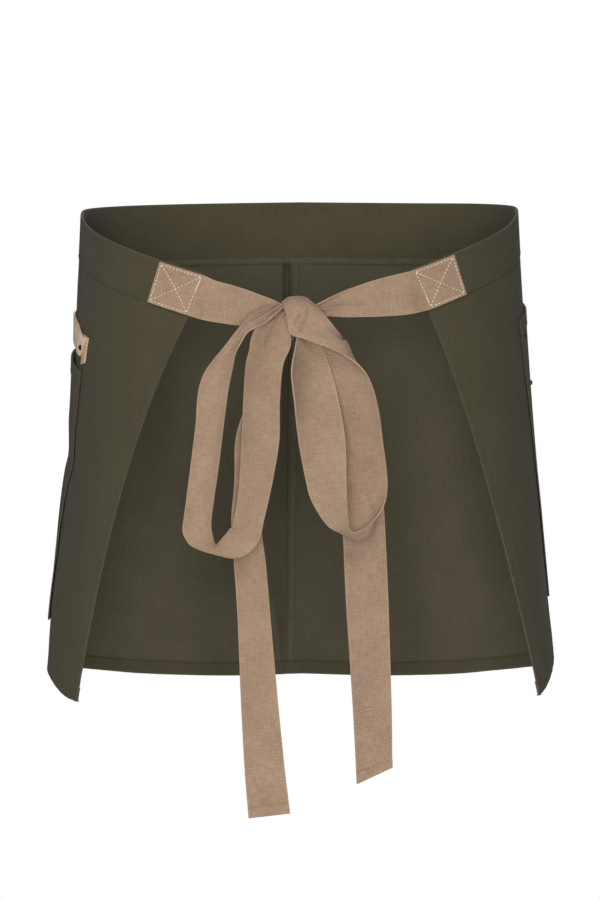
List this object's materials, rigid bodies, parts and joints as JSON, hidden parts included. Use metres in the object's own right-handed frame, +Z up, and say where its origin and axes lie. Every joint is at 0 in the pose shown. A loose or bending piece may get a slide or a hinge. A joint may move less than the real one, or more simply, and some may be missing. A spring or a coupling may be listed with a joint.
{
  "type": "waist apron",
  "caption": "Short canvas waist apron tied at the back with a tape bow: straight waistband, skirt open at the back, patch pockets on the hips and a riveted leather towel loop.",
  "frame": {"origin": "middle of the waist opening, level with the top edge of the band at the sides", "axes": "+Z up, out of the waist opening; +Y towards the wearer's front; +X towards the wearer's right"},
  "size_m": [0.4274, 0.3165, 0.4929],
  "materials": {
    "canvas": "dark olive cotton canvas, matt",
    "tape": "tan cotton twill tape, matt",
    "leather": "natural leather, satin",
    "dark_rivet": "darkened metal, satin",
    "copper": "copper, satin"
  },
  "bodies": {
    "root": {"waistband": "canvas", "skirt_left": "canvas", "skirt_right": "canvas", "centre_seam": "canvas", "tie_strap_left": "tape", "tie_strap_right": "tape", "bow_knot": "tape", "bow_loop_left": "tape", "bow_loop_right": "tape", "tie_tail_left": "tape", "tie_tail_right": "tape", "pocket_left": "canvas", "pocket_right": "canvas", "towel_loop": "leather", "towel_loop_rivet_rear": "dark_rivet", "towel_loop_rivet_front": "dark_rivet", "pocket_rivet_upper": "copper", "pocket_rivet_lower": "copper"}
  },
  "joints": []
}
